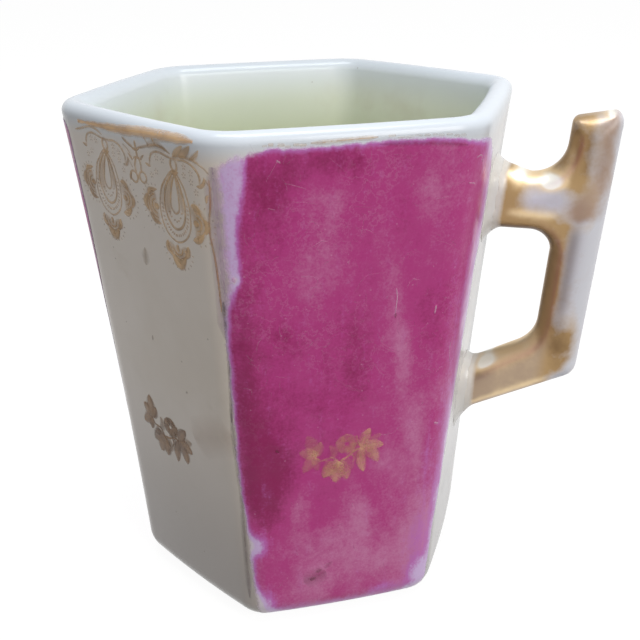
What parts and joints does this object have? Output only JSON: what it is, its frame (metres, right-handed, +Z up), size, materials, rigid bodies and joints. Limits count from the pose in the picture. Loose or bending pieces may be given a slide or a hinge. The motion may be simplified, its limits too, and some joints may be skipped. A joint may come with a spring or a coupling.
{
  "type": "mustache cup",
  "caption": "Six-sided tapering porcelain cup with lustre panels, a gilded angular handle with a thumb spur and a moustache guard inside the lip, for drinking hot drinks",
  "frame": {"origin": "on the cup's axis at table level, in the plane of the foot", "axes": "+Z up the cup, +X out through the middle of the handle, -Y toward the drinker and the guard"},
  "size_m": [0.0958, 0.0834, 0.095],
  "materials": {
    "porcelain": "clear glaze, gloss",
    "slip": "clear glaze over slip, gloss",
    "gilding": "burnished gilding over glaze, worn",
    "lustre": "fired magenta lustre, gloss"
  },
  "bodies": {
    "root": {"cup_body": "porcelain", "moustache_guard": "porcelain", "guard_lute": "slip", "handle": "gilding", "handle_upper_lute": "slip", "handle_lower_lute": "slip", "lustre_panel_front": "lustre", "lustre_panel_back": "lustre", "lustre_panel_left": "lustre"}
  },
  "joints": []
}
